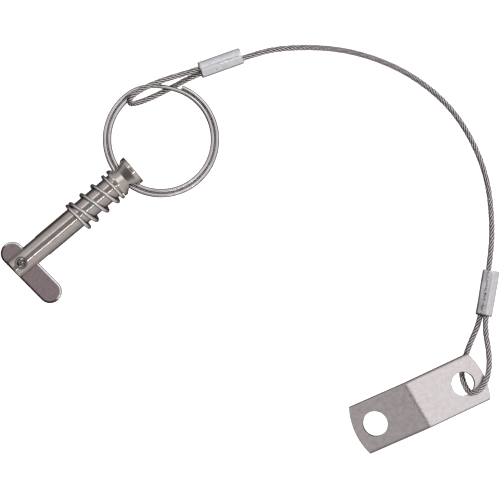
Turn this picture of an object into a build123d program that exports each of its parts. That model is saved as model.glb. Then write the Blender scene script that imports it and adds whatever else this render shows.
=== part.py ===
"""Drop-nose quick-release pin with a spring, a split ring and a wire-rope lanyard that ends in a bent tab.

Frame: the origin is on the pin's axis, where the shank meets the collar. +X runs along the shank to the
nose, +Z is up. The whole object lies on a flat surface at z = FLOOR_Z. Sizes are in millimetres.
"""

import math
import os

from build123d import *

# ---- driving dimensions ----
FLOOR_Z = -4.3

# pin
SHANK_R = 3.175
SHANK_L = 35.9
NOSE_ROUND = 0.35
RIM_R = 4.2
RIM_ROUND = 0.2
COLLAR_T = 0.75
WAIST_R = 3.2
WAIST_X = -2.8
HEAD_L = 6.3
HEAD_RIM_T = 1.0
RING_HOLE_R = 2.05
RING_HOLE_X = -2.95
SLOT_HALF = 1.05
SLOT_BOTTOM_X = 25.9

# toggle and its pivot
PIVOT_X = 33.1
PIVOT_R = 1.2
PIVOT_BORE_R = 0.62
PIVOT_HALF_L = 2.8
COUNTERSINK_R = 1.55
COUNTERSINK_FROM = 2.55
PIVOT_CLEARANCE = 0.05
TOGGLE_T = 2.0
TOGGLE_HALF_W = 3.175
TOGGLE_SHORT_ARM = 6.8
TOGGLE_LONG_ARM = 14.0
TOGGLE_EDGE = 0.5
TOGGLE_ANGLE = 94.6

# spring
WIRE_R = 0.5
COIL_START_X = 0.65
COIL_R_COLLAR = 3.82
COIL_R_FREE = 4.14
COIL_TURNS = 4.7
CLOSED_TURNS = 0.57
OPEN_TURNS = 3.0
CLOSED_PITCH = 1.15
OPEN_PITCH = 3.8
COIL_LEAN = math.tan(math.radians(5.7))
COLLAR_END_SHIFT = (0.12, 0.03)
FREE_END_SHIFT = (0.27, 0.35)
POINTS_PER_TURN = 10

# split ring, a flat spiral of round wire
RING_WIRE_R = 0.575
RING_OUTER_R = 15.18
RING_INNER_R = 14.0
RING_CENTRE = (-17.2, -1.4)
RING_START = 208
RING_OUTER_TRAVEL = 304
RING_SHIFT_TRAVEL = 52
RING_INNER_TRAVEL = 305
RING_TILT = -3

# wire rope and its two crimped sleeves
CABLE_R = 0.8
BORE_CLEARANCE = 0.04
SLEEVE_WALL_R = 1.5
SLEEVE_EDGE = 0.3

# tab
TAB_T = 1.5
TAB_HALF_W = 7.0
# how far each end's two corners reach along the tab
TAB_SCREW_END = (-17.1, -17.1)
TAB_LANYARD_END = (18.6, 18.0)
TAB_END_BULGE = 1.4
TAB_BEND_HALF = 10
TAB_BEND_INNER_R = 1.0
TAB_BEND_SKEW = 5.8
TAB_EDGE = 0.4
TAB_TILT = -2.7
TAB_TURN = 164.6
TAB_BEND_AT = (-23.97, 98.15)
SCREW_HOLE_R = 3.45
SCREW_HOLE_U = -12.4
LANYARD_HOLE_R = 3.2
LANYARD_HOLE_U = 13.5

# The wire rope's route: (x, y, z), from the end hidden in the ring's sleeve to the end hidden in the tab's.
LANYARD_ROUTE = [
    (-41.6, -7.8, -1.5),
    (-35.6, -10.0, -1.5),
    (-28.2, -13.2, 0.3),
    (-21.7, -15.1, 1.6),
    (-17.9, -15.25, 1.95),
    (-16.85, -14.3, 0.5),
    (-17.8, -13.4, -0.95),
    (-21.3, -12.1, -2.3),
    (-27.4, -10.6, -3.5),
    (-35.2, -9.0, -2.8),
    (-50.2, -3.4, -2.8),
    (-58.1, 0.4, -3.5),
    (-68.5, 9.1, -3.5),
    (-75.7, 18.6, -3.5),
    (-80.8, 29.7, -3.5),
    (-83.0, 41.9, -3.5),
    (-81.7, 53.4, -3.5),
    (-77.8, 64.4, -3.5),
    (-70.6, 74.8, -3.5),
    (-63.7, 81.7, -2.8),
    (-51.9, 91.8, -2.8),
    (-45.2, 95.1, -3.5),
    (-39.5, 98.5, -3.5),
    (-37.4, 101.4, -2.0),
    (-36.6, 105.2, 0.8),
    (-39.9, 106.1, 0.9),
    (-43.9, 104.3, 0.5),
    (-47.6, 100.4, -0.4),
    (-51.8, 93.2, -1.5),
    (-56.6, 89.1, -1.5),
]
RING_SLEEVE_RUNS = ((9, 10), (1, 0))
RING_SLEEVE_ENDS = (1.9, 13.95)
TAB_SLEEVE_RUNS = ((20, 19), (28, 29))
TAB_SLEEVE_ENDS = (1.3, 13.7)


# ---- small helpers ----
def write(part, name):
    """One STEP file for one node."""
    part.label = name
    export_step(part, f"parts/{name}.step")
    return part


def point(route_index):
    return Vector(*LANYARD_ROUTE[route_index])


def polar(radius, degrees):
    angle = math.radians(degrees)
    return Vector(radius * math.cos(angle), radius * math.sin(angle))


def clockwise_tangent(degrees):
    return polar(1, degrees - 90)


# ---- pin ----
def pin_body():
    """Head, waist, collar and shank turned in one piece, with the ring's hole and the toggle's slot."""
    head_end = -HEAD_L
    outline = Polyline(
        (head_end, 0),
        (head_end, RIM_R),
        (head_end + HEAD_RIM_T, RIM_R),
        (WAIST_X, WAIST_R),
        (-COLLAR_T, RIM_R),
        (0, RIM_R),
        (0, SHANK_R),
        (SHANK_L, SHANK_R),
        (SHANK_L, 0),
        close=True,
    )
    profile = make_face(outline)
    rims = [v for v in profile.vertices() if abs(v.Y - RIM_R) < 0.01]
    profile = fillet(rims, RIM_ROUND)
    nose = [v for v in profile.vertices() if v.X > SHANK_L - 0.01 and v.Y > 0.1]
    profile = fillet(nose, NOSE_ROUND)
    body = revolve(profile, Axis.X)
    ring_hole = Pos(RING_HOLE_X, 0, 0) * Rot(X=90) * Cylinder(RING_HOLE_R, 4 * RIM_R)
    slot_length = SHANK_L - SLOT_BOTTOM_X + 1
    slot = Pos(SLOT_BOTTOM_X + slot_length / 2, 0, 0) * Box(slot_length, 4 * SHANK_R, 2 * SLOT_HALF)
    body = body - ring_hole - slot - Pos(PIVOT_X, 0, 0) * Cylinder(PIVOT_R, 4 * SHANK_R)
    sink_depth = SHANK_R - COUNTERSINK_FROM + 1
    for side in (1, -1):
        sink = Cylinder(COUNTERSINK_R, sink_depth)
        body = body - Pos(PIVOT_X, 0, side * (COUNTERSINK_FROM + sink_depth / 2)) * sink
    return body


def pivot_pin():
    """Hollow roll pin that the toggle turns on."""
    roll = Cylinder(PIVOT_R, 2 * PIVOT_HALF_L) - Cylinder(PIVOT_BORE_R, 3 * PIVOT_HALF_L)
    return Pos(PIVOT_X, 0, 0) * roll


def toggle_bar():
    """Flat bar with round ends and eased edges, hung off its centre on the pivot."""
    straight = TOGGLE_LONG_ARM + TOGGLE_SHORT_ARM - 2 * TOGGLE_HALF_W
    middle = (TOGGLE_LONG_ARM - TOGGLE_SHORT_ARM) / 2
    outline = Pos(middle, 0) * SlotCenterToCenter(straight, 2 * TOGGLE_HALF_W)
    bar = extrude(outline, TOGGLE_T / 2, both=True)
    faces = bar.faces().filter_by(Axis.Z)
    bar = fillet(faces.edges(), TOGGLE_EDGE)
    bar = bar - Cylinder(PIVOT_R + PIVOT_CLEARANCE, 2 * TOGGLE_T)
    return Pos(PIVOT_X, 0, 0) * Rot(Z=TOGGLE_ANGLE) * bar


# ---- spring ----
def coil_point(turn):
    """Centre of the spring's wire after so many turns: closed at both ends, open between."""
    opened = min(max(turn - CLOSED_TURNS, 0), OPEN_TURNS)
    along = COIL_START_X + CLOSED_PITCH * turn + (OPEN_PITCH - CLOSED_PITCH) * opened
    share = turn / COIL_TURNS
    radius = COIL_R_COLLAR + (COIL_R_FREE - COIL_R_COLLAR) * share
    across = polar(radius, 360 * turn)
    shift_y, shift_z = [a + (b - a) * share for a, b in zip(COLLAR_END_SHIFT, FREE_END_SHIFT)]
    lean = COIL_LEAN * min(turn, 1, COIL_TURNS - turn)
    return (along - across.X * lean, across.X + shift_y, across.Y + shift_z)


def compression_spring():
    """Round wire wound right-handed round the shank, a little wider at its free end."""
    steps = round(COIL_TURNS * POINTS_PER_TURN)
    path = Spline(*[coil_point(COIL_TURNS * i / steps) for i in range(steps + 1)])
    section = Plane(path @ 0, z_dir=path % 0) * Circle(WIRE_R)
    return sweep(section, path=path, is_frenet=False)


# ---- split ring ----
def biarc_middle(start, start_dir, end, end_dir):
    """Where two arcs meet that leave start along start_dir and reach end along end_dir."""
    chord = end - start
    both = start_dir + end_dir
    spread = 2 * (1 - start_dir.dot(end_dir))
    reach = (math.sqrt(chord.dot(both) ** 2 + spread * chord.dot(chord)) - chord.dot(both)) / spread
    return (start + end + (start_dir - end_dir) * reach) * 0.5


def ring_frame():
    """The ring hangs in the head's hole and dips towards its far side."""
    return Pos(RING_HOLE_X, 0, 0) * Rot(Y=RING_TILT) * Pos(RING_CENTRE[0] - RING_HOLE_X, RING_CENTRE[1], 0)


def split_ring():
    """Two turns side by side, with a short step inwards where one becomes the other."""
    step_from = RING_START - RING_OUTER_TRAVEL
    step_to = step_from - RING_SHIFT_TRAVEL
    start, start_dir = polar(RING_OUTER_R, step_from), clockwise_tangent(step_from)
    end, end_dir = polar(RING_INNER_R, step_to), clockwise_tangent(step_to)
    middle = biarc_middle(start, start_dir, end, end_dir)
    outer_turn = CenterArc((0, 0), RING_OUTER_R, RING_START, -RING_OUTER_TRAVEL)
    step_in = TangentArc(start, middle, tangent=start_dir)
    step_out = TangentArc(middle, end, tangent=step_in % 1)
    inner_turn = CenterArc((0, 0), RING_INNER_R, step_to, -RING_INNER_TRAVEL)
    path = Wire([outer_turn.edge(), step_in.edge(), step_out.edge(), inner_turn.edge()])
    section = Plane(path @ 0, z_dir=path % 0) * Circle(RING_WIRE_R)
    return ring_frame() * sweep(section, path=path)


# ---- wire rope ----
def corner_radii(route):
    """The largest arc that each corner's two runs leave room for."""
    radii = []
    for before, here, after in zip(route, route[1:], route[2:]):
        come, go = Vector(*here) - Vector(*before), Vector(*after) - Vector(*here)
        half_turn = math.radians(come.get_angle(go)) / 2
        radii.append(0.45 * min(come.length, go.length) / math.tan(half_turn))
    return radii


def rope(radius):
    """A round tube along the route, of straight runs and tangent arcs."""
    path = FilletPolyline(*LANYARD_ROUTE, radius=corner_radii(LANYARD_ROUTE))
    section = Plane(path @ 0, z_dir=path % 0) * Circle(radius)
    return sweep(section, path=path), path


def sleeve(runs, ends, rope_space):
    """Crimped sleeve round two runs of the rope; ends are how far its faces lie from the runs' start."""
    (live_from, live_to), (dead_from, _) = runs
    along = (point(live_to) - point(live_from)).normalized()
    live = point(live_from)
    dead = point(dead_from)
    apart = dead - live
    apart = apart - along * apart.dot(along)
    middle = live + apart * 0.5
    plane = Plane(middle + along * ends[0], x_dir=apart, z_dir=along)
    outline = SlotCenterToCenter(apart.length, 2 * SLEEVE_WALL_R)
    body = extrude(plane * outline, ends[1] - ends[0])
    end_faces = [f for f in body.faces() if abs(f.normal_at().dot(along)) > 0.99]
    end_edges = [e for f in end_faces for e in f.edges()]
    return fillet(end_edges, SLEEVE_EDGE) - rope_space


# ---- tab ----
def tab_frame(height):
    """The bend runs along this frame's Y axis."""
    return Pos(TAB_BEND_AT[0], TAB_BEND_AT[1], height) * Rot(Z=TAB_TURN + TAB_BEND_SKEW) * Rot(Y=TAB_TILT)


def tab_hole(reach, radius):
    """A hole square to its half of the tab, reach being its distance from the bend along the tab."""
    side = math.copysign(1, reach)
    place = (Rot(Z=-TAB_BEND_SKEW) * Pos(reach, 0)).position
    drop = abs(place.X) * math.tan(math.radians(TAB_BEND_HALF))
    height = TAB_BEND_INNER_R + TAB_T / 2 - drop
    return Pos(place.X, place.Y, height) * Rot(Y=side * TAB_BEND_HALF) * Cylinder(radius, 6 * TAB_T)


def mounting_tab():
    """Strip with bowed ends, bent a little askew across its middle, with a screw hole and a lanyard hole."""
    bend = math.radians(TAB_BEND_HALF)
    reach = max(TAB_LANYARD_END) + 4 * TAB_END_BULGE
    top_r = TAB_BEND_INNER_R + TAB_T

    def start(radius, side):
        return (side * radius * math.sin(bend), radius * math.cos(bend))

    def end(radius, side):
        x, y = start(radius, side)
        return (x + side * reach * math.cos(bend), y - reach * math.sin(bend))

    sides = [
        Line(end(TAB_BEND_INNER_R, -1), start(TAB_BEND_INNER_R, -1)),
        ThreePointArc(start(TAB_BEND_INNER_R, -1), (0, TAB_BEND_INNER_R), start(TAB_BEND_INNER_R, 1)),
        Line(start(TAB_BEND_INNER_R, 1), end(TAB_BEND_INNER_R, 1)),
        Line(end(TAB_BEND_INNER_R, 1), end(top_r, 1)),
        Line(end(top_r, 1), start(top_r, 1)),
        ThreePointArc(start(top_r, 1), (0, top_r), start(top_r, -1)),
        Line(start(top_r, -1), end(top_r, -1)),
        Line(end(top_r, -1), end(TAB_BEND_INNER_R, -1)),
    ]
    strip = extrude(Plane.XZ * make_face(sides), 2 * TAB_HALF_W, both=True)
    screw_low, screw_high = [(u, v) for u, v in zip(TAB_SCREW_END, (-TAB_HALF_W, TAB_HALF_W))]
    lanyard_low, lanyard_high = [(u, v) for u, v in zip(TAB_LANYARD_END, (-TAB_HALF_W, TAB_HALF_W))]
    outline = make_face([
        Line(screw_low, lanyard_low),
        ThreePointArc(lanyard_low, (sum(TAB_LANYARD_END) / 2 + TAB_END_BULGE, 0), lanyard_high),
        Line(lanyard_high, screw_high),
        ThreePointArc(screw_high, (sum(TAB_SCREW_END) / 2 - TAB_END_BULGE, 0), screw_low),
    ])
    blank = strip & Rot(Z=-TAB_BEND_SKEW) * extrude(outline, 4 * TAB_HALF_W, both=True)
    straight = blank.edges().filter_by(GeomType.LINE)
    long_edges = [e for e in straight if e.length > TAB_HALF_W and abs((e % 0).X) > 0.5]
    blank = fillet(long_edges, TAB_EDGE)
    blank = blank - tab_hole(SCREW_HOLE_U, SCREW_HOLE_R) - tab_hole(LANYARD_HOLE_U, LANYARD_HOLE_R)
    lowest = (tab_frame(0) * blank).bounding_box().min.Z
    return tab_frame(FLOOR_Z - lowest) * blank, FLOOR_Z - lowest


# ---- build ----
os.makedirs("parts", exist_ok=True)
cable, cable_path = rope(CABLE_R)
cable_space = rope(CABLE_R + BORE_CLEARANCE)[0]
tab, tab_height = mounting_tab()

write(pin_body(), "pin_body")
write(pivot_pin(), "pivot_pin")
write(toggle_bar(), "toggle_bar")
write(compression_spring(), "compression_spring")
write(split_ring(), "split_ring")
write(cable, "lanyard_cable")
write(sleeve(RING_SLEEVE_RUNS, RING_SLEEVE_ENDS, cable_space), "ring_ferrule")
write(sleeve(TAB_SLEEVE_RUNS, TAB_SLEEVE_ENDS, cable_space), "tab_ferrule")
write(tab, "mounting_tab")

# ---- facts about the rope and the tab ----
print("rope corner radii:", [round(r, 1) for r in corner_radii(LANYARD_ROUTE)])
section_x_length = math.pi * CABLE_R**2 * cable_path.length
print(f"rope length {cable_path.length:.1f}")
print(f"rope volume {cable.volume:.2f}, section x length {section_x_length:.2f}")
for label, reach in (("screw", SCREW_HOLE_U), ("lanyard", LANYARD_HOLE_U)):
    hole = tab_frame(tab_height) * tab_hole(reach, 1)
    axis = hole.faces().filter_by(GeomType.PLANE)[0].normal_at()
    print(label, "hole centre", hole.center(), "axis", axis)
ring_centre = ring_frame().position
print("ring centre", ring_centre, "axis", (ring_frame() * Pos(0, 0, 1)).position - ring_centre)
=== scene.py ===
"""Looks for the quick-release pin with its split ring, wire-rope lanyard and bent tab.

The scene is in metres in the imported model's frame: the origin is on the pin's axis at the collar, +X runs
along the shank to the nose and +Z is up. The sizes of the pieces are written in millimetres, and MM turns them
into metres.
"""

import math

import bpy
import numpy as np
from mathutils import Matrix, Vector, noise


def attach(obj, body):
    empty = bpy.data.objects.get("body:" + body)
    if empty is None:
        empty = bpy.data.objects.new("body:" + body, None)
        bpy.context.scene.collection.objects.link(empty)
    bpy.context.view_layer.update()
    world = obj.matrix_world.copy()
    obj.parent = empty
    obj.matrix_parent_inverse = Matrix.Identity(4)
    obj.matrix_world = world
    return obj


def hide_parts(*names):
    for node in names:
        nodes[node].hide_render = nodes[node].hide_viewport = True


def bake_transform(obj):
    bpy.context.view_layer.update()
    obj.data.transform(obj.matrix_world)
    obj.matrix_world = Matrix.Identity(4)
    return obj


MM = 0.001

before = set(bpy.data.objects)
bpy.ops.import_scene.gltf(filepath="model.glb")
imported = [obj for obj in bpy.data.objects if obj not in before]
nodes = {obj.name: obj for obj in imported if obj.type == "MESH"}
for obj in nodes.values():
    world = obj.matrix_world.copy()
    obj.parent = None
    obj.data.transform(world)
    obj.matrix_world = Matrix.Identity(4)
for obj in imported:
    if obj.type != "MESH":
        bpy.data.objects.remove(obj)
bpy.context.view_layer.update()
# The part lies on z = REST_MM. The floor is lower, clear of the lanyard when the ring is swung over.
REST_MM = -4.3
FLOOR_Z = -34 * MM

# ---- camera: straight down, with a long lens ----
VIEW_RIGHT = Vector((-0.765, 0.644, 0)).normalized()
VIEW_BACK = Vector((0, 0, 1))
VIEW_UP = VIEW_BACK.cross(VIEW_RIGHT)
VIEW_CENTRE = Vector((-16.3, 37.0, 0)) * MM
VIEW_WIDTH = 135.1 * MM
LENS = 200
SENSOR = 36
CLIP = (0.01, 10)


def make_camera():
    data = bpy.data.cameras.new("camera")
    data.lens = LENS
    data.sensor_width = SENSOR
    data.clip_start, data.clip_end = CLIP
    camera = bpy.data.objects.new("camera", data)
    bpy.context.scene.collection.objects.link(camera)
    turn = Matrix((VIEW_RIGHT, VIEW_UP, VIEW_BACK)).transposed().to_4x4()
    distance = VIEW_WIDTH * LENS / SENSOR
    camera.matrix_world = Matrix.Translation(VIEW_CENTRE + VIEW_BACK * distance) @ turn
    bpy.context.scene.camera = camera


make_camera()

# ---- wire rope ----
# The wire rope's route: (x, y, z) in millimetres, from the end hidden in the ring's sleeve to the end hidden
# in the tab's.
LANYARD_ROUTE = [
    (-41.6, -7.8, -1.5),
    (-35.6, -10.0, -1.5),
    (-28.2, -13.2, 0.3),
    (-21.7, -15.1, 1.6),
    (-17.9, -15.25, 1.95),
    (-16.85, -14.3, 0.5),
    (-17.8, -13.4, -0.95),
    (-21.3, -12.1, -2.3),
    (-27.4, -10.6, -3.5),
    (-35.2, -9.0, -2.8),
    (-50.2, -3.4, -2.8),
    (-58.1, 0.4, -3.5),
    (-68.5, 9.1, -3.5),
    (-75.7, 18.6, -3.5),
    (-80.8, 29.7, -3.5),
    (-83.0, 41.9, -3.5),
    (-81.7, 53.4, -3.5),
    (-77.8, 64.4, -3.5),
    (-70.6, 74.8, -3.5),
    (-63.7, 81.7, -2.8),
    (-51.9, 91.8, -2.8),
    (-45.2, 95.1, -3.5),
    (-39.5, 98.5, -3.5),
    (-37.4, 101.4, -2.0),
    (-36.6, 105.2, 0.8),
    (-39.9, 106.1, 0.9),
    (-43.9, 104.3, 0.5),
    (-47.6, 100.4, -0.4),
    (-51.8, 93.2, -1.5),
    (-56.6, 89.1, -1.5),
]
ROUTE_ORDER = 3
ROUTE_RESOLUTION = 32
ROPE_R = 0.8
ROPE_STEP = 0.22
# How far along the rope a strand goes once round it, and a wire once round its strand, the other way about.
ROPE_LAY = 6.8
WIRE_LAY = -5.0
STRANDS = 6
WIRES = 6
# Where points are taken on each wire's outside, in degrees round the strand from the wire's crown.
WIRE_POINTS = (-30, -15, 0, 15)


def route_points():
    """Points along the smooth line that the route's control points give."""
    curve = bpy.data.curves.new("lanyard_route", "CURVE")
    curve.dimensions = "3D"
    curve.resolution_u = ROUTE_RESOLUTION
    spline = curve.splines.new("NURBS")
    spline.points.add(len(LANYARD_ROUTE) - 1)
    for control, place in zip(spline.points, LANYARD_ROUTE):
        control.co = (*(Vector(place) * MM), 1)
    spline.order_u = ROUTE_ORDER
    spline.use_endpoint_u = True
    holder = bpy.data.objects.new("lanyard_route", curve)
    bpy.context.scene.collection.objects.link(holder)
    bpy.context.view_layer.update()
    line = bpy.data.meshes.new_from_object(holder)
    points = np.array([v.co for v in line.vertices])
    bpy.data.objects.remove(holder)
    bpy.data.curves.remove(curve)
    bpy.data.meshes.remove(line)
    return points


def even_points(points, step):
    """The same line with its points an even step apart, and how far along it each is."""
    lengths = np.r_[0, np.cumsum(np.linalg.norm(np.diff(points, axis=0), axis=1))]
    count = round(lengths[-1] / step)
    at = np.linspace(0, lengths[-1], count + 1)
    return np.stack([np.interp(at, lengths, points[:, k]) for k in range(3)], axis=1), at


def carried_frames(points):
    """Two square directions at each point that turn no more than the line makes them."""
    tangents = np.gradient(points, axis=0)
    tangents /= np.linalg.norm(tangents, axis=1)[:, None]
    side = np.cross(tangents[0], (0, 0, 1.0))
    side /= np.linalg.norm(side)
    first, second = [], []
    for tangent in tangents:
        side = side - tangent * side.dot(tangent)
        side = side / np.linalg.norm(side)
        first.append(side)
        second.append(np.cross(tangent, side))
    return np.array(first), np.array(second)


def loft(rings, closed_ends=True):
    """Vertices and faces of a tube through rings of points, each an (n, 3) array."""
    count, around = len(rings), len(rings[0])
    verts = np.concatenate(rings)
    faces = []
    for i in range(count - 1):
        a, b = i * around, (i + 1) * around
        for k in range(around):
            n = (k + 1) % around
            faces.append((a + k, a + n, b + n, b + k))
    if closed_ends:
        faces.append(tuple(reversed(range(around))))
        faces.append(tuple(range((count - 1) * around, count * around)))
    return verts, faces


def make_mesh(name, groups):
    """One smooth-shaded object from several (vertices, faces) groups."""
    verts, faces, base = [], [], 0
    for group_verts, group_faces in groups:
        verts.append(np.asarray(group_verts))
        faces += [tuple(base + i for i in face) for face in group_faces]
        base += len(group_verts)
    mesh = bpy.data.meshes.new(name)
    mesh.from_pydata(np.concatenate(verts).tolist(), [], faces)
    mesh.validate()
    mesh.polygons.foreach_set("use_smooth", [True] * len(mesh.polygons))
    mesh.update()
    made = bpy.data.objects.new(name, mesh)
    bpy.context.scene.collection.objects.link(made)
    return made


def paint(made, name, values):
    """One number per vertex, for the material to read."""
    layer = made.data.attributes.new(name, "FLOAT", "POINT")
    layer.data.foreach_set("value", np.asarray(values, dtype=np.float32))


def strand_profile(radius):
    """Outline of one strand: a ring of round wires, as (angle, distance) pairs."""
    wire = radius / 3
    outline = []
    for k in range(WIRES):
        for degrees in WIRE_POINTS:
            turn = math.radians(degrees)
            beside = 2 * wire * math.sin(turn)
            reach = 2 * wire * math.cos(turn) + math.sqrt(max(wire**2 - beside**2, 0))
            outline.append((math.radians(360 / WIRES * k + degrees), reach))
    return outline


def wire_rope():
    """Six strands of seven wires laid right-handed round a straight core strand. Each vertex is given its
    distance from the rope's middle as a share of the rope's radius."""
    smooth_line = route_points()
    points, along = even_points(smooth_line, ROPE_STEP * MM)
    first, second = carried_frames(points)
    strand_r = ROPE_R / 3 * MM
    outline = strand_profile(strand_r)
    groups, depths = [], []
    for strand in range(STRANDS + 1):
        turn = 2 * math.pi * (along / (ROPE_LAY * MM) + strand / STRANDS)
        reach = 0 if strand == STRANDS else 2 * strand_r
        centres = points + reach * (np.cos(turn)[:, None] * first + np.sin(turn)[:, None] * second)
        twist = 2 * math.pi * along / (WIRE_LAY * MM) + turn
        rings = []
        for i in range(len(points)):
            ring = [
                centres[i] + d * (math.cos(a + twist[i]) * first[i] + math.sin(a + twist[i]) * second[i])
                for a, d in outline
            ]
            rings.append(np.array(ring))
            depths.append(np.linalg.norm(rings[-1] - points[i], axis=1) / (ROPE_R * MM))
        groups.append(loft(rings))
    rope = make_mesh("wire_rope", groups)
    paint(rope, "reach", np.concatenate(depths))
    return rope, smooth_line


rope, rope_line = wire_rope()
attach(rope, "lanyard")
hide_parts("lanyard_cable")

# ---- spring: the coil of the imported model, wound finer ----
WIRE_R = 0.5
COIL_START_X = 0.65
COIL_R_COLLAR = 3.82
COIL_R_FREE = 4.14
COIL_TURNS = 4.7
CLOSED_TURNS = 0.57
OPEN_TURNS = 3.0
CLOSED_PITCH = 1.15
OPEN_PITCH = 3.8
COIL_LEAN = math.tan(math.radians(5.7))
# How far off the pin's axis the coil's middle is, across and up, at its two ends.
COLLAR_END_SHIFT = (0.12, 0.03)
FREE_END_SHIFT = (0.27, 0.35)
COIL_STEPS = 64


def coil_point(turn):
    """Centre of the spring's wire after so many turns: closed at both ends, open between."""
    opened = min(max(turn - CLOSED_TURNS, 0), OPEN_TURNS)
    along = COIL_START_X + CLOSED_PITCH * turn + (OPEN_PITCH - CLOSED_PITCH) * opened
    share = turn / COIL_TURNS
    radius = COIL_R_COLLAR + (COIL_R_FREE - COIL_R_COLLAR) * share
    across = (radius * math.cos(2 * math.pi * turn), radius * math.sin(2 * math.pi * turn))
    shift_y, shift_z = [a + (b - a) * share for a, b in zip(COLLAR_END_SHIFT, FREE_END_SHIFT)]
    lean = COIL_LEAN * min(turn, 1, COIL_TURNS - turn)
    return (along - across[0] * lean, across[0] + shift_y, across[1] + shift_z)


def wire_tube(points, radius, around=20, edge=0.12):
    """A round wire along points, its cut ends just broken at the rim by edge, a share of its radius."""
    first, second = carried_frames(points)
    tangents = np.cross(first, second)
    turns = np.linspace(0, 2 * math.pi, around, endpoint=False)
    circle = np.cos(turns)[:, None, None] * first + np.sin(turns)[:, None, None] * second
    rings = [points[i] + radius * circle[:, i] for i in range(len(points))]
    rim = (1 - edge) * radius
    start = points[0] + rim * circle[:, 0] - edge * radius * tangents[0]
    end = points[-1] + rim * circle[:, -1] + edge * radius * tangents[-1]
    return loft([start, *rings, end])


def coil_spring():
    turns = np.linspace(0, COIL_TURNS, round(COIL_TURNS * COIL_STEPS) + 1)
    points = np.array([coil_point(t) for t in turns]) * MM
    return make_mesh("coil_spring", [wire_tube(points, WIRE_R * MM)])


spring = coil_spring()
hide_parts("compression_spring")
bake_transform(spring)

# ---- roll pin: strip rolled up on itself ----
PIVOT_X = 33.1
PIVOT_R = 1.2
PIVOT_HALF_L = 2.8
PIVOT_CHAMFER = 0.2
# Sections up the roll pin: height as a share of half its length, and how far its outside is drawn in there.
PIVOT_SECTIONS = [
    (-1, PIVOT_CHAMFER), (-0.94, 0.05), (-0.9, 0), (0.9, 0), (0.94, 0.05), (1, PIVOT_CHAMFER),
]
STRIP_T = 0.3
STRIP_PITCH = 0.36
STRIP_TURNS = 2.3
STRIP_STEPS = 120
STRIP_FROM = 40


def roll_pin():
    """A spiral section carried down the pivot, drawn in at both ends."""
    wound = np.linspace(0, STRIP_TURNS, STRIP_STEPS)
    angles = 2 * math.pi * wound + math.radians(STRIP_FROM)
    circle = np.stack([np.cos(angles), np.sin(angles)], axis=1)
    reach = (PIVOT_R - STRIP_PITCH * wound)[:, None]
    outer_turn = (wound < 1)[:, None]
    rings = []
    for level, drawn_in in PIVOT_SECTIONS:
        outer = (reach - drawn_in * outer_turn) * circle
        inner = ((reach - STRIP_T) * circle)[::-1]
        section = np.concatenate([outer, inner])
        height = np.full((len(section), 1), level * PIVOT_HALF_L)
        rings.append((np.hstack([section, height]) + (PIVOT_X, 0, 0)) * MM)
    count = len(rings[0])
    verts, faces = loft(rings, closed_ends=False)
    last = (len(rings) - 1) * count
    for k in range(STRIP_STEPS - 1):
        opposite = count - 1 - k
        faces.append((k + 1, k, opposite, opposite - 1))
        faces.append((last + k, last + k + 1, last + opposite - 1, last + opposite))
    return make_mesh("roll_pin", [(verts, faces)])


pivot = roll_pin()
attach(pivot, "pin")
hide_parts("pivot_pin")

# ---- split ring: two turns side by side, with a step inwards where one becomes the other ----
RING_WIRE_R = 0.575
RING_OUTER_R = 15.18
RING_INNER_R = 14.0
RING_CENTRE = (-17.2, -1.4)
RING_HOLE_X = -2.95
# In degrees round the ring: where the outer turn starts, and how far it, the step and the inner turn go.
RING_START = 208
RING_OUTER_TRAVEL = 304
RING_SHIFT_TRAVEL = 52
RING_INNER_TRAVEL = 305
RING_TILT = -3
RING_STEP = 0.6


def smooth_step(share):
    share = np.clip(share, 0, 1)
    return share * share * (3 - 2 * share)


def split_ring():
    """The ring's wire, lying level and then tilted about the head's hole."""
    travel_end = RING_OUTER_TRAVEL + RING_SHIFT_TRAVEL + RING_INNER_TRAVEL
    travel = np.linspace(0, travel_end, round(travel_end / RING_STEP))
    shift = smooth_step((travel - RING_OUTER_TRAVEL) / RING_SHIFT_TRAVEL)
    radius = RING_OUTER_R + (RING_INNER_R - RING_OUTER_R) * shift
    turn = np.radians(RING_START - travel)
    flat = np.stack([radius * np.cos(turn), radius * np.sin(turn), np.zeros(len(turn))], axis=1)
    flat += (RING_CENTRE[0] - RING_HOLE_X, RING_CENTRE[1], 0)
    tilt = Matrix.Rotation(math.radians(RING_TILT), 3, "Y")
    points = flat @ np.array(tilt).T + (RING_HOLE_X, 0, 0)
    return make_mesh("wire_ring", [wire_tube(points * MM, RING_WIRE_R * MM, around=24, edge=0.1)])


ring = split_ring()
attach(ring, "ring")
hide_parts("split_ring")

# ---- crimped sleeves ----
# Outline of each sleeve's section in millimetres: (across, height), across being level and square to the
# sleeve, measured from midway between its two ropes.
RING_SLEEVE_OUTLINE = [
    (-1.95, -1.0), (-0.3, -0.08), (0.1, 0.0), (0.7, -0.06), (1.5, -0.3), (2.25, -0.8),
    (2.38, -1.9), (1.5, -3.6), (0.0, -4.3), (-1.2, -4.25), (-1.9, -3.6), (-2.1, -2.2),
]
TAB_SLEEVE_OUTLINE = [
    (-2.15, -0.95), (-0.95, -0.2), (-0.8, -0.34), (0.4, 0.0), (1.05, -0.14), (2.25, -0.8),
    (2.3, -1.9), (1.4, -3.6), (0.0, -4.3), (-1.2, -4.25), (-2.0, -3.6), (-2.25, -2.2),
]
# How far across from the live rope the middle of the two ropes is.
SLEEVE_SHIFT = 0.545
SLEEVE_STEPS = 90
# The rounding of a sleeve's ends: how far in from the end, and the size of its section there.
SLEEVE_LIP = [(0.0, 0.8), (0.0, 0.9), (0.1, 0.955), (0.25, 0.985), (0.5, 1.0)]
CORNER_CUT = 0.18
CORNER_CUTS = 3
# How closely dents follow each other along a sleeve and round it.
DENTS_ALONG = 0.3
DENTS_ROUND = 0.6
# Farther across than any of a sleeve, for one with no seam.
NO_SEAM = 9.0


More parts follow.
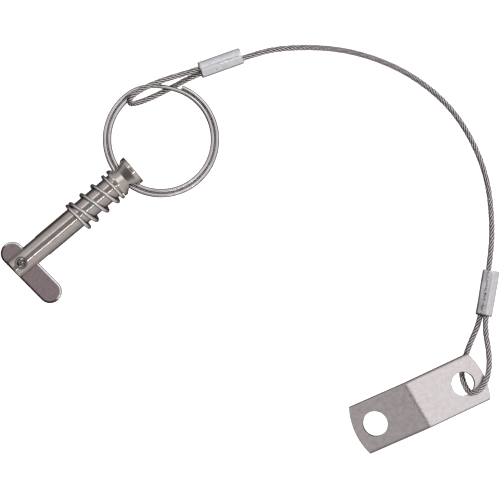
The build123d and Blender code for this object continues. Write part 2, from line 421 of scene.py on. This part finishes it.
def rounded(outline):
    """The outline with its corners cut, again and again, some way along its sides."""
    for _ in range(CORNER_CUTS):
        side = np.roll(outline, -1, axis=0) - outline
        outline = np.stack([outline + side * CORNER_CUT, outline + side * (1 - CORNER_CUT)], axis=1)
        outline = outline.reshape(-1, 2)
    return outline


def crimped_sleeve(name, run, ends, outline, towards, seed, dents, seam):
    """A sleeve pressed into facets round both ropes.

    The live rope is straight between the two points of the route that run names, and the sleeve is on it from
    ends[0] to ends[1] past the first. Across is counted in the direction towards, and seam is how far across
    the seam is. Each vertex is given how far it is from the end with two ropes, and how far across from the
    seam.
    """
    start, stop = [np.array(LANYARD_ROUTE[i]) for i in run]
    along = (stop - start) / np.linalg.norm(stop - start)
    across = np.cross((0, 0, 1.0), along)
    across = across * np.sign(across.dot(towards))
    shape = rounded(np.array(outline))
    centre = shape.mean(axis=0)
    length = ends[1] - ends[0]
    lip = SLEEVE_LIP[-1][0]
    stations = list(SLEEVE_LIP)
    stations += [(reach, 1.0) for reach in np.linspace(lip, length - lip, SLEEVE_STEPS)[1:-1]]
    stations += [(length - reach, scale) for reach, scale in reversed(SLEEVE_LIP)]
    rings = []
    for reach, scale in stations:
        ring = []
        for h, z in centre + (shape - centre) * scale:
            where = Vector((reach * DENTS_ALONG, h * DENTS_ROUND, z * DENTS_ROUND + seed))
            outward = np.array([h, z]) - centre
            outward = outward / np.linalg.norm(outward)
            dented = np.array([h, z]) + outward * dents * noise.noise(where)
            level = max(min(dented[1], 0.0), REST_MM)
            aside = across * (dented[0] + SLEEVE_SHIFT) + (0, 0, level - start[2])
            ring.append(start + along * (ends[0] + reach) + aside)
        rings.append(np.array(ring) * MM)
    sleeve = make_mesh(name, [loft(rings)])
    paint(sleeve, "off_seam", np.tile(shape[:, 0] - seam, len(rings)))
    paint(sleeve, "from_mouth", np.repeat([reach for reach, _ in stations], len(shape)))
    return sleeve


def place_sleeve(sleeve, node):
    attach(sleeve, "lanyard")
    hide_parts(node)


ring_sleeve = crimped_sleeve(
    "ring_sleeve",
    run=(9, 10),
    ends=(1.9, 13.95),
    outline=RING_SLEEVE_OUTLINE,
    towards=VIEW_UP,
    seed=3.0,
    dents=0.03,
    seam=NO_SEAM,
)
tab_sleeve = crimped_sleeve(
    "tab_sleeve",
    run=(20, 19),
    ends=(1.3, 13.7),
    outline=TAB_SLEEVE_OUTLINE,
    towards=VIEW_RIGHT,
    seed=8.0,
    dents=0.09,
    seam=-0.82,
)
place_sleeve(ring_sleeve, "ring_ferrule")
place_sleeve(tab_sleeve, "tab_ferrule")

# ---- node trees ----
# Nearly all of a noise's values are between these two.
NOISE_SPREAD = (0.3, 0.7)
BEVEL_SAMPLES = 6


def rgba(color):
    return color if isinstance(color, bpy.types.NodeSocket) else (*color, 1)


class Nodes:
    """Short way to build the nodes of a material or of the world."""

    def __init__(self, owner, output):
        owner.use_nodes = True
        self.owner = owner
        self.tree = owner.node_tree
        self.tree.nodes.clear()
        self.out = self.add(output)

    def add(self, kind, inputs=None, **settings):
        """A node. Each input is a socket to link, a value, or None to leave it alone."""
        node = self.tree.nodes.new(kind)
        for key, value in settings.items():
            setattr(node, key, value)
        for key, value in (inputs or {}).items():
            if isinstance(value, bpy.types.NodeSocket):
                self.tree.links.new(value, node.inputs[key])
            elif value is not None:
                node.inputs[key].default_value = value
        return node

    def math(self, operation, first, second=0.0):
        return self.add("ShaderNodeMath", {0: first, 1: second}, operation=operation).outputs[0]

    def split(self, vector):
        """The vector's three numbers."""
        return self.add("ShaderNodeSeparateXYZ", {"Vector": vector}).outputs[:]

    def subtract(self, vector, taken):
        return self.add("ShaderNodeVectorMath", {0: vector, 1: taken}, operation="SUBTRACT").outputs["Vector"]

    def dot(self, vector, direction):
        inputs = {0: vector, 1: direction}
        return self.add("ShaderNodeVectorMath", inputs, operation="DOT_PRODUCT").outputs["Value"]

    def distance(self, first, second):
        """How far from the origin the point with these two coordinates is."""
        point = self.add("ShaderNodeCombineXYZ", {"X": first, "Y": second}).outputs["Vector"]
        return self.add("ShaderNodeVectorMath", {0: point}, operation="LENGTH").outputs["Value"]

    def ramp(self, value, low, high, to_low=0.0, to_high=1.0):
        """to_low up to low, to_high from high on, and even between."""
        inputs = {"Value": value, "From Min": low, "From Max": high, "To Min": to_low, "To Max": to_high}
        return self.add("ShaderNodeMapRange", inputs).outputs["Result"]

    def fade(self, value, near, far, most=1.0):
        """The most up to near, and nothing from far on."""
        return self.ramp(value, near, far, to_low=most, to_high=0.0)

    def vary(self, grain, low, high):
        """From low to high as the noise goes."""
        return self.ramp(grain, *NOISE_SPREAD, to_low=low, to_high=high)

    def mix(self, share, first, second):
        inputs = {0: share, 6: rgba(first), 7: rgba(second)}
        return self.add("ShaderNodeMix", inputs, data_type="RGBA").outputs[2]

    def mottled(self, grain, colors, spread=NOISE_SPREAD):
        """From the first colour to the second as the noise goes."""
        return self.mix(self.ramp(grain, *spread), *colors)

    def place(self, stretch=(1, 1, 1)):
        """Position on the piece in millimetres, times stretch."""
        where = self.add("ShaderNodeTexCoord").outputs["Object"]
        scale = tuple(s / MM for s in stretch)
        return self.add("ShaderNodeMapping", {"Vector": where, "Scale": scale}).outputs["Vector"]

    def noise(self, vector, scale=1.0, detail=2.0, rough=0.5):
        inputs = {"Vector": vector, "Scale": scale, "Detail": detail, "Roughness": rough}
        return self.add("ShaderNodeTexNoise", inputs).outputs["Fac"]

    def painted(self, name):
        """The number that paint gave each vertex."""
        return self.add("ShaderNodeAttribute", attribute_name=name).outputs["Fac"]

    def facing(self):
        """The three numbers of the direction that the surface faces, on the piece."""
        return self.split(self.add("ShaderNodeTexCoord").outputs["Normal"])

    def turned_away(self, flat, turned):
        """0 where the height of the surface's normal is flat or more, and 1 where it is turned or less."""
        return self.fade(self.math("ABSOLUTE", self.facing()[2]), turned, flat)

    def bevel(self, radius):
        """Normals as if the edges were eased by radius millimetres."""
        return self.add("ShaderNodeBevel", {"Radius": radius * MM}, samples=BEVEL_SAMPLES).outputs["Normal"]

    def bump(self, height, distance, strength, normal=None):
        """Normals of a surface raised by height, times distance in millimetres."""
        inputs = {"Height": height, "Distance": distance * MM, "Strength": strength, "Normal": normal}
        return self.add("ShaderNodeBump", inputs).outputs["Normal"]

    def surface(self, shader):
        self.tree.links.new(shader.outputs[0], self.out.inputs["Surface"])
        return self.owner

    def metal(self, color, roughness, normal=None):
        inputs = {"Base Color": color, "Metallic": 1.0, "Roughness": roughness, "Normal": normal}
        return self.surface(self.add("ShaderNodeBsdfPrincipled", inputs))


def material(name):
    return Nodes(bpy.data.materials.new(name), "ShaderNodeOutputMaterial")


def heading(degrees):
    """The level direction so many degrees round from +X."""
    turn = math.radians(degrees)
    return Vector((math.cos(turn), math.sin(turn), 0))


# ---- pin ----
BAR_COLORS = (0.54, 0.50, 0.475), (0.64, 0.61, 0.585)
STREAK_COLOR = (0.30, 0.27, 0.26)
# Along the pin, where its brighter head gives way to the shank.
HEAD_END_X = (-0.3, 0.3)
# Painted shadow of the countersink round the roll pin's hole: the rim's radius, and how far from it the
# painted shadow thins out.
RIM_PAINTED_SHADOW = (0.10, 0.085, 0.08)
RIM_R = 1.62
RIM_FADE = (0.06, 0.22)
# Painted shade on the lips of the toggle's slot, where the shank meets the toggle: how far up and down, and
# from where along the pin.
LIP_PAINTED_SHADE = (0.10, 0.085, 0.085)
LIP_Z = (1.2, 1.7)
LIP_X = (29.6, 30.2)


def turned_steel():
    """Stainless bar, turned and polished, its head brighter: fine rings round the axis, lengthwise streaks on
    the shank, a painted shadow round the roll pin's hole and painted shade along the slot's lips."""
    m = material("turned_steel")
    where = m.place()
    x, y, z = m.split(where)
    shank = m.ramp(x, *HEAD_END_X)
    rings = m.noise(m.place(stretch=(4, 0.2, 0.2)), detail=2)
    streaks = m.noise(m.place(stretch=(0.02, 2.4, 2.4)), detail=4)
    spots = m.noise(where, scale=0.7, detail=4)
    streaked = m.math("MULTIPLY", m.fade(streaks, 0.34, 0.6, most=0.5), shank)
    color = m.mix(streaked, m.mottled(spots, BAR_COLORS), STREAK_COLOR)
    # A painted shadow ring round the roll pin's hole, where the countersink is shaded.
    from_pivot = m.distance(m.math("SUBTRACT", x, PIVOT_X), y)
    off_rim = m.math("ABSOLUTE", m.math("SUBTRACT", from_pivot, RIM_R))
    color = m.mix(m.fade(off_rim, *RIM_FADE, most=0.75), color, RIM_PAINTED_SHADOW)
    # Painted contact shade on the slot's lips next to the toggle.
    lips = m.math("MULTIPLY", m.fade(m.math("ABSOLUTE", z), *LIP_Z, most=0.85), m.ramp(x, *LIP_X))
    color = m.mix(lips, color, LIP_PAINTED_SHADE)
    roughness = m.math("ADD", m.math("MULTIPLY", shank, 0.03), m.vary(spots, 0.1, 0.15))
    bumps = m.bump(rings, distance=0.0025, strength=0.5, normal=m.bevel(0.15))
    return m.metal(color, roughness, normal=bumps)


# ---- toggle ----
TOGGLE_COLORS = (0.52, 0.415, 0.445), (0.64, 0.535, 0.565)
# Painted highlight and painted shade for the toggle's rim and sides.
PAINTED_HIGHLIGHT_EDGE = (0.88, 0.86, 0.865)
PAINTED_SHADE_SIDE = (0.12, 0.10, 0.105)
PAINTED_SHADE_RIM = (0.05, 0.04, 0.045)
# The toggle at rest: its directions, how far its middle is from the pivot, half its width, and how far from
# its middle the centres of its round ends are.
TOGGLE_ALONG = heading(94.6)
TOGGLE_ACROSS = heading(184.6)
TOGGLE_OFFSET = 3.6
TOGGLE_MIDDLE = Vector((PIVOT_X, 0, 0)) + TOGGLE_ALONG * TOGGLE_OFFSET
TOGGLE_HALF_W = 3.175
TOGGLE_HALF_STRAIGHT = 7.225
# How far in from the toggle's outline its rim goes, how gently that changes from painted highlight to painted
# shade, and the same for its sides, by how far the surface faces the nose.
TOGGLE_RIM = (0.46, 0.64)
TOGGLE_RIM_CHANGE = 0.3
TOGGLE_SIDE_CHANGE = (0.0, 0.25)


def satin_steel():
    """Tumbled flat bar: soft sheen, faint warm mottling, rim and sides painted with a highlight towards the
    head and with shade towards the nose."""
    m = material("satin_steel")
    where = m.place()
    mottle = m.noise(where, scale=1.1, detail=5, rough=0.6)
    grain = m.noise(where, scale=3, detail=2)
    color = m.mottled(mottle, TOGGLE_COLORS, spread=(0.32, 0.68))
    # Sides: painted highlight where they face the head, painted shade where they face the nose.
    nose_side = m.ramp(m.facing()[0], *TOGGLE_SIDE_CHANGE)
    side = m.mix(nose_side, PAINTED_HIGHLIGHT_EDGE, PAINTED_SHADE_SIDE)
    color = m.mix(m.turned_away(flat=0.985, turned=0.8), color, side)
    away = m.subtract(where, TOGGLE_MIDDLE)
    along, across = m.dot(away, TOGGLE_ALONG), m.dot(away, TOGGLE_ACROSS)
    past_straight = m.math("SUBTRACT", m.math("ABSOLUTE", along), TOGGLE_HALF_STRAIGHT)
    from_spine = m.distance(m.math("MAXIMUM", past_straight, 0.0), across)
    from_edge = m.math("SUBTRACT", TOGGLE_HALF_W, from_spine)
    # Rim: painted highlight on the head's side, painted shade on the nose's side.
    to_head = m.ramp(across, -TOGGLE_RIM_CHANGE, TOGGLE_RIM_CHANGE)
    rim = m.mix(to_head, PAINTED_SHADE_RIM, PAINTED_HIGHLIGHT_EDGE)
    color = m.mix(m.fade(from_edge, *TOGGLE_RIM, most=0.95), color, rim)
    bumps = m.bump(grain, distance=0.012, strength=0.5)
    return m.metal(color, roughness=m.vary(grain, 0.17, 0.26), normal=bumps)


# ---- roll pin, spring, ring and rope ----
STRIP_COLORS = (0.16, 0.145, 0.14), (0.42, 0.39, 0.37)
SPRING_COLORS = (0.74, 0.73, 0.73), (0.86, 0.85, 0.85)
SPRING_SIDES = (0.8, 0.78, 0.78)
RING_COLORS = (0.78, 0.76, 0.765), (0.92, 0.90, 0.905)
# Painted shade down the sides of the ring's wire.
RING_PAINTED_SHADE_SIDES = (0.17, 0.155, 0.155)
ROPE_COLORS = (0.82, 0.78, 0.79), (0.99, 0.95, 0.96)
# Painted shade in the crevices between the rope's strands.
ROPE_PAINTED_SHADE = (0.03, 0.024, 0.026)
# Shares of the rope's radius between which its painted shade in the crevices gives way to bright crowns.
ROPE_SHADE_REACH = (0.80, 0.94)


def oiled_steel():
    """Dark spring strip, oil-blackened, with brighter rubs."""
    m = material("oiled_steel")
    rubs = m.noise(m.place(), scale=2.5, detail=3)
    color = m.mottled(rubs, STRIP_COLORS, spread=(0.35, 0.65))
    return m.metal(color, roughness=m.vary(rubs, 0.3, 0.18))


def polished_wire(name, colors, sides, roughness):
    """Bright drawn wire with faint colour changes, and the sides colour mixed in down its sides: a dark
    painted shade on the ring, nearly the wire's own colour on the spring.
    """
    m = material(name)
    mottle = m.noise(m.place(), scale=0.5, detail=3)
    # Down the wire's sides the sides colour is mixed in, a painted shade on the ring.
    color = m.mix(m.turned_away(flat=0.94, turned=0.73), m.mottled(mottle, colors), sides)
    return m.metal(color, roughness=m.vary(mottle, roughness * 0.8, roughness * 1.3))


def stranded_wire():
    """Steel rope: bright on the crowns of its strands, with painted shade down in the crevices between them.
    """
    m = material("stranded_wire")
    reach = m.painted("reach")
    mottle = m.noise(m.place(), scale=1.3, detail=4)
    # Painted shade down between the strands, by how far each point is from the rope's middle.
    color = m.mix(m.ramp(reach, *ROPE_SHADE_REACH), ROPE_PAINTED_SHADE, m.mottled(mottle, ROPE_COLORS))
    return m.metal(color, roughness=m.ramp(reach, 0.7, 1.0, to_low=0.4, to_high=0.16))


# ---- sleeves ----
SLEEVE_COLORS = (0.80, 0.82, 0.865), (0.90, 0.92, 0.96)
SCRATCH_COLOR = (0.4, 0.41, 0.44)
SEAM_COLOR = (0.12, 0.11, 0.12)
# Painted shadow at the sleeve's mouth, where both ropes go in.
MOUTH_PAINTED_SHADOW = (0.06, 0.05, 0.055)
# How far the seam wanders to either side, and how far from it its dark thins out.
SEAM_WANDER = 0.45
SEAM_FADE = (0.1, 0.3)
# How far into a sleeve the painted shadow of its mouth thins out, and how much less that wanders than the
# seam.
MOUTH_FADE = (0.2, 0.5)
MOUTH_WANDER = 0.5


def crimped_aluminium():
    """Pale aluminium pressed in a die: soft die marks, a few deeper scratches, a dark ragged seam, and a
    painted shadow at the end where both ropes go in."""
    m = material("crimped_aluminium")
    where = m.place()
    scuffs = m.noise(where, scale=1.1, detail=2)
    scratches = m.noise(where, scale=1.4, detail=3, rough=0.7)
    color = m.mottled(scuffs, SLEEVE_COLORS, spread=(0.35, 0.65))
    color = m.mix(m.fade(scratches, 0.3, 0.36), color, SCRATCH_COLOR)
    wander = m.vary(scratches, -SEAM_WANDER, SEAM_WANDER)
    off_seam = m.math("ABSOLUTE", m.math("ADD", m.painted("off_seam"), wander))
    color = m.mix(m.fade(off_seam, *SEAM_FADE, most=0.85), color, SEAM_COLOR)
    # Painted shadow inside the mouth where both ropes go in.
    inside = m.math("ADD", m.painted("from_mouth"), m.math("MULTIPLY", wander, MOUTH_WANDER))
    color = m.mix(m.fade(inside, *MOUTH_FADE, most=0.9), color, MOUTH_PAINTED_SHADOW)
    bumps = m.bump(scuffs, distance=0.008, strength=0.5)
    return m.metal(color, roughness=m.vary(scuffs, 0.29, 0.34), normal=bumps)


# ---- tab ----
TAB_COLORS = (0.64, 0.595, 0.60), (0.78, 0.745, 0.75)
DING_COLOR = (0.34, 0.30, 0.31)
# Painted shade on the tab's edges.
TAB_EDGE_PAINTED_SHADE = (0.22, 0.185, 0.19)
# Painted shade band along one long edge of each half of the tab.
TAB_PAINTED_SHADE_BAND = (0.22, 0.18, 0.185)
BEND_COLOR = (0.30, 0.255, 0.26)
# The middle of the tab's bend, the direction square to the bend, and the direction square to the long edges.
TAB_BEND_AT = Vector((-23.97, 98.15, 0))
TAB_ALONG = heading(170.4)
TAB_ACROSS = heading(254.6)
# How far from the tab's middle its painted shade band sets in, and how gently that band changes over from one
# long edge to the other, in square millimetres: it is on one long edge before the bend and on the other after
# it.
TAB_SHADE_BAND_FROM = (6.2, 6.7)
TAB_SHADE_BAND_CHANGE = 2.0
# How far the bend's dark line wanders to either side, and how far from it the dark thins out.
BEND_WANDER = 0.7
BEND_FADE = (0.1, 0.5)


def tab_steel():
    """Blanked and tumbled strip: warm mottled grey with small dark dings, painted shade on its edges, a
    painted shade band along one long edge of each half, and a dark ragged line at the bend."""
    m = material("tab_steel")
    where = m.place()
    mottle = m.noise(where, scale=0.8, detail=4, rough=0.6)
    grain = m.noise(where, scale=2.6, detail=2)
    dings = m.noise(where, scale=1.9, detail=4, rough=0.7)
    color = m.mix(m.fade(dings, 0.3, 0.36, most=0.45), m.mottled(mottle, TAB_COLORS), DING_COLOR)
    # Painted shade on the faces turned away from level.
    color = m.mix(m.turned_away(flat=0.96, turned=0.88), color, TAB_EDGE_PAINTED_SHADE)
    away = m.subtract(where, TAB_BEND_AT)
    past_bend, off_middle = m.dot(away, TAB_ALONG), m.dot(away, TAB_ACROSS)
    # A painted shade band, on one long edge before the bend and on the other after it.
    at_edge = m.ramp(m.math("ABSOLUTE", off_middle), *TAB_SHADE_BAND_FROM, to_high=0.8)
    shaded_half_side = m.ramp(m.math("MULTIPLY", off_middle, past_bend), -TAB_SHADE_BAND_CHANGE, TAB_SHADE_BAND_CHANGE)
    color = m.mix(m.math("MULTIPLY", at_edge, shaded_half_side), color, TAB_PAINTED_SHADE_BAND)
    off_bend = m.math("ABSOLUTE", m.math("ADD", past_bend, m.vary(dings, -BEND_WANDER, BEND_WANDER)))
    color = m.mix(m.fade(off_bend, *BEND_FADE, most=0.5), color, BEND_COLOR)
    bumps = m.bump(grain, distance=0.02, strength=0.4, normal=m.bevel(0.3))
    return m.metal(color, roughness=m.vary(mottle, 0.2, 0.28), normal=bumps)


# ---- every piece gets its material ----
def dress(made, look):
    made.data.materials.clear()
    made.data.materials.append(look)


dress(nodes["pin_body"], turned_steel())
dress(nodes["toggle_bar"], satin_steel())
dress(nodes["mounting_tab"], tab_steel())
dress(pivot, oiled_steel())
dress(spring, polished_wire("spring_wire", SPRING_COLORS, SPRING_SIDES, roughness=0.22))
dress(ring, polished_wire("ring_wire", RING_COLORS, RING_PAINTED_SHADE_SIDES, roughness=0.1))
dress(rope, stranded_wire())
aluminium = crimped_aluminium()
dress(ring_sleeve, aluminium)
dress(tab_sleeve, aluminium)

# ---- floor, room and lights ----
FLOOR_HALF = 2.0
FLOOR_COLOR = (0.95, 0.95, 0.95)
FLOOR_ROUGHNESS = 0.9
FLOOR_GLOW = 0.8
WHITE = (1, 1, 1)


def make_floor():
    corners = [(x * FLOOR_HALF, y * FLOOR_HALF, FLOOR_Z) for x, y in [(-1, -1), (1, -1), (1, 1), (-1, 1)]]
    mesh = bpy.data.meshes.new("floor")
    mesh.from_pydata(corners, [], [(0, 1, 2, 3)])
    floor = bpy.data.objects.new("floor", mesh)
    bpy.context.scene.collection.objects.link(floor)
    m = material("floor_white")
    inputs = {
        "Base Color": rgba(FLOOR_COLOR),
        "Roughness": FLOOR_ROUGHNESS,
        "Emission Color": rgba(WHITE),
        "Emission Strength": FLOOR_GLOW,
    }
    mesh.materials.append(m.surface(m.add("ShaderNodeBsdfPrincipled", inputs)))
    floor.visible_glossy = False


# How bright the room is towards each height, from straight down (-1) to straight up (1), on the two sides of
# the pin.
DIM_SIDE = [
    (-1.0, 0.03), (-0.5, 0.06), (-0.1, 0.2), (0.1, 0.5), (0.6, 0.72), (0.85, 0.68), (0.95, 0.34), (1.0, 0.34),
]
LIGHT_SIDE = [
    (-1.0, 0.03), (-0.8, 0.06), (-0.5, 0.3), (-0.1, 0.6), (0.3, 0.72), (0.8, 0.72), (0.93, 0.3), (1.0, 0.34),
]
SIDE_BLUR = 0.35
# How much of that there is towards the head's end (-1) and the nose's end (1).
HEAD_TO_NOSE = [(-1.0, 1.0), (-0.3, 1.0), (0.0, 1.0), (0.55, 1.05), (0.63, 0.5), (0.67, 0.2), (1.0, 0.08)]
ROOM_TINT = (1.0, 0.95, 0.94)


def greys(m, level, stops):
    """Greys of the room by level, which goes from -1 to 1."""
    node = m.add("ShaderNodeValToRGB", {"Fac": m.ramp(level, -1.0, 1.0)})
    ramp = node.color_ramp
    while len(ramp.elements) < len(stops):
        ramp.elements.new(0.5)
    for element, (place, grey) in zip(ramp.elements, stops):
        element.position = (place + 1) / 2
        element.color = rgba([grey * tint for tint in ROOM_TINT])
    return node.outputs["Color"]


def make_world():
    """A plain room: mid grey, darker straight overhead and below, lighter on one side."""
    world = bpy.data.worlds.new("studio")
    bpy.context.scene.world = world
    m = Nodes(world, "ShaderNodeOutputWorld")
    where = m.add("ShaderNodeTexCoord").outputs["Generated"]
    x, _, z = m.split(where)
    light_share = m.ramp(m.dot(where, (VIEW_RIGHT - VIEW_UP).normalized()), -SIDE_BLUR, SIDE_BLUR)
    color = m.mix(light_share, greys(m, z, DIM_SIDE), greys(m, z, LIGHT_SIDE))
    m.surface(m.add("ShaderNodeBackground", {"Color": color, "Strength": greys(m, x, HEAD_TO_NOSE)}))


# Rectangular lights. Each stands in a direction given as (image right, image up, towards the camera), at a
# distance, with a width, and a height along image up, in metres, a power in watts and a roll in degrees.
LIGHTS = {
    "side": {"direction": (0.33, 0.27, 1.0), "distance": 0.9, "width": 0.34, "height": 0.8, "power": 0.6},
    "strip": {
        "direction": (0.208, -0.31, 1.0), "distance": 0.9, "width": 0.05, "height": 0.25, "power": 0.24,
        "roll": 130,
    },
    "key": {"direction": (0.9, 1.07, 1.0), "distance": 1.0, "width": 0.5, "height": 0.45, "power": 0.42},
    "fill": {"direction": (-0.22, 0.48, 1.0), "distance": 1.0, "width": 0.6, "height": 0.16, "power": 0.27},
}


def soft_light(name, direction, distance, width, height, power, roll=0):
    """A rectangular light facing the object."""
    data = bpy.data.lights.new(name, "AREA")
    data.shape = "RECTANGLE"
    data.size, data.size_y = width, height
    data.energy = power
    light = bpy.data.objects.new(name, data)
    bpy.context.scene.collection.objects.link(light)
    towards = (VIEW_RIGHT * direction[0] + VIEW_UP * direction[1] + VIEW_BACK * direction[2]).normalized()
    up = (VIEW_UP - towards * VIEW_UP.dot(towards)).normalized()
    turn = Matrix((up.cross(towards), up, towards)).transposed().to_4x4()
    spin = Matrix.Rotation(math.radians(roll), 4, "Z")
    light.matrix_world = Matrix.Translation(VIEW_CENTRE + towards * distance) @ turn @ spin


make_floor()
make_world()
for light_name, settings in LIGHTS.items():
    soft_light(light_name, **settings)
bpy.context.scene.view_settings.view_transform = "Standard"

bpy.context.view_layer.update()
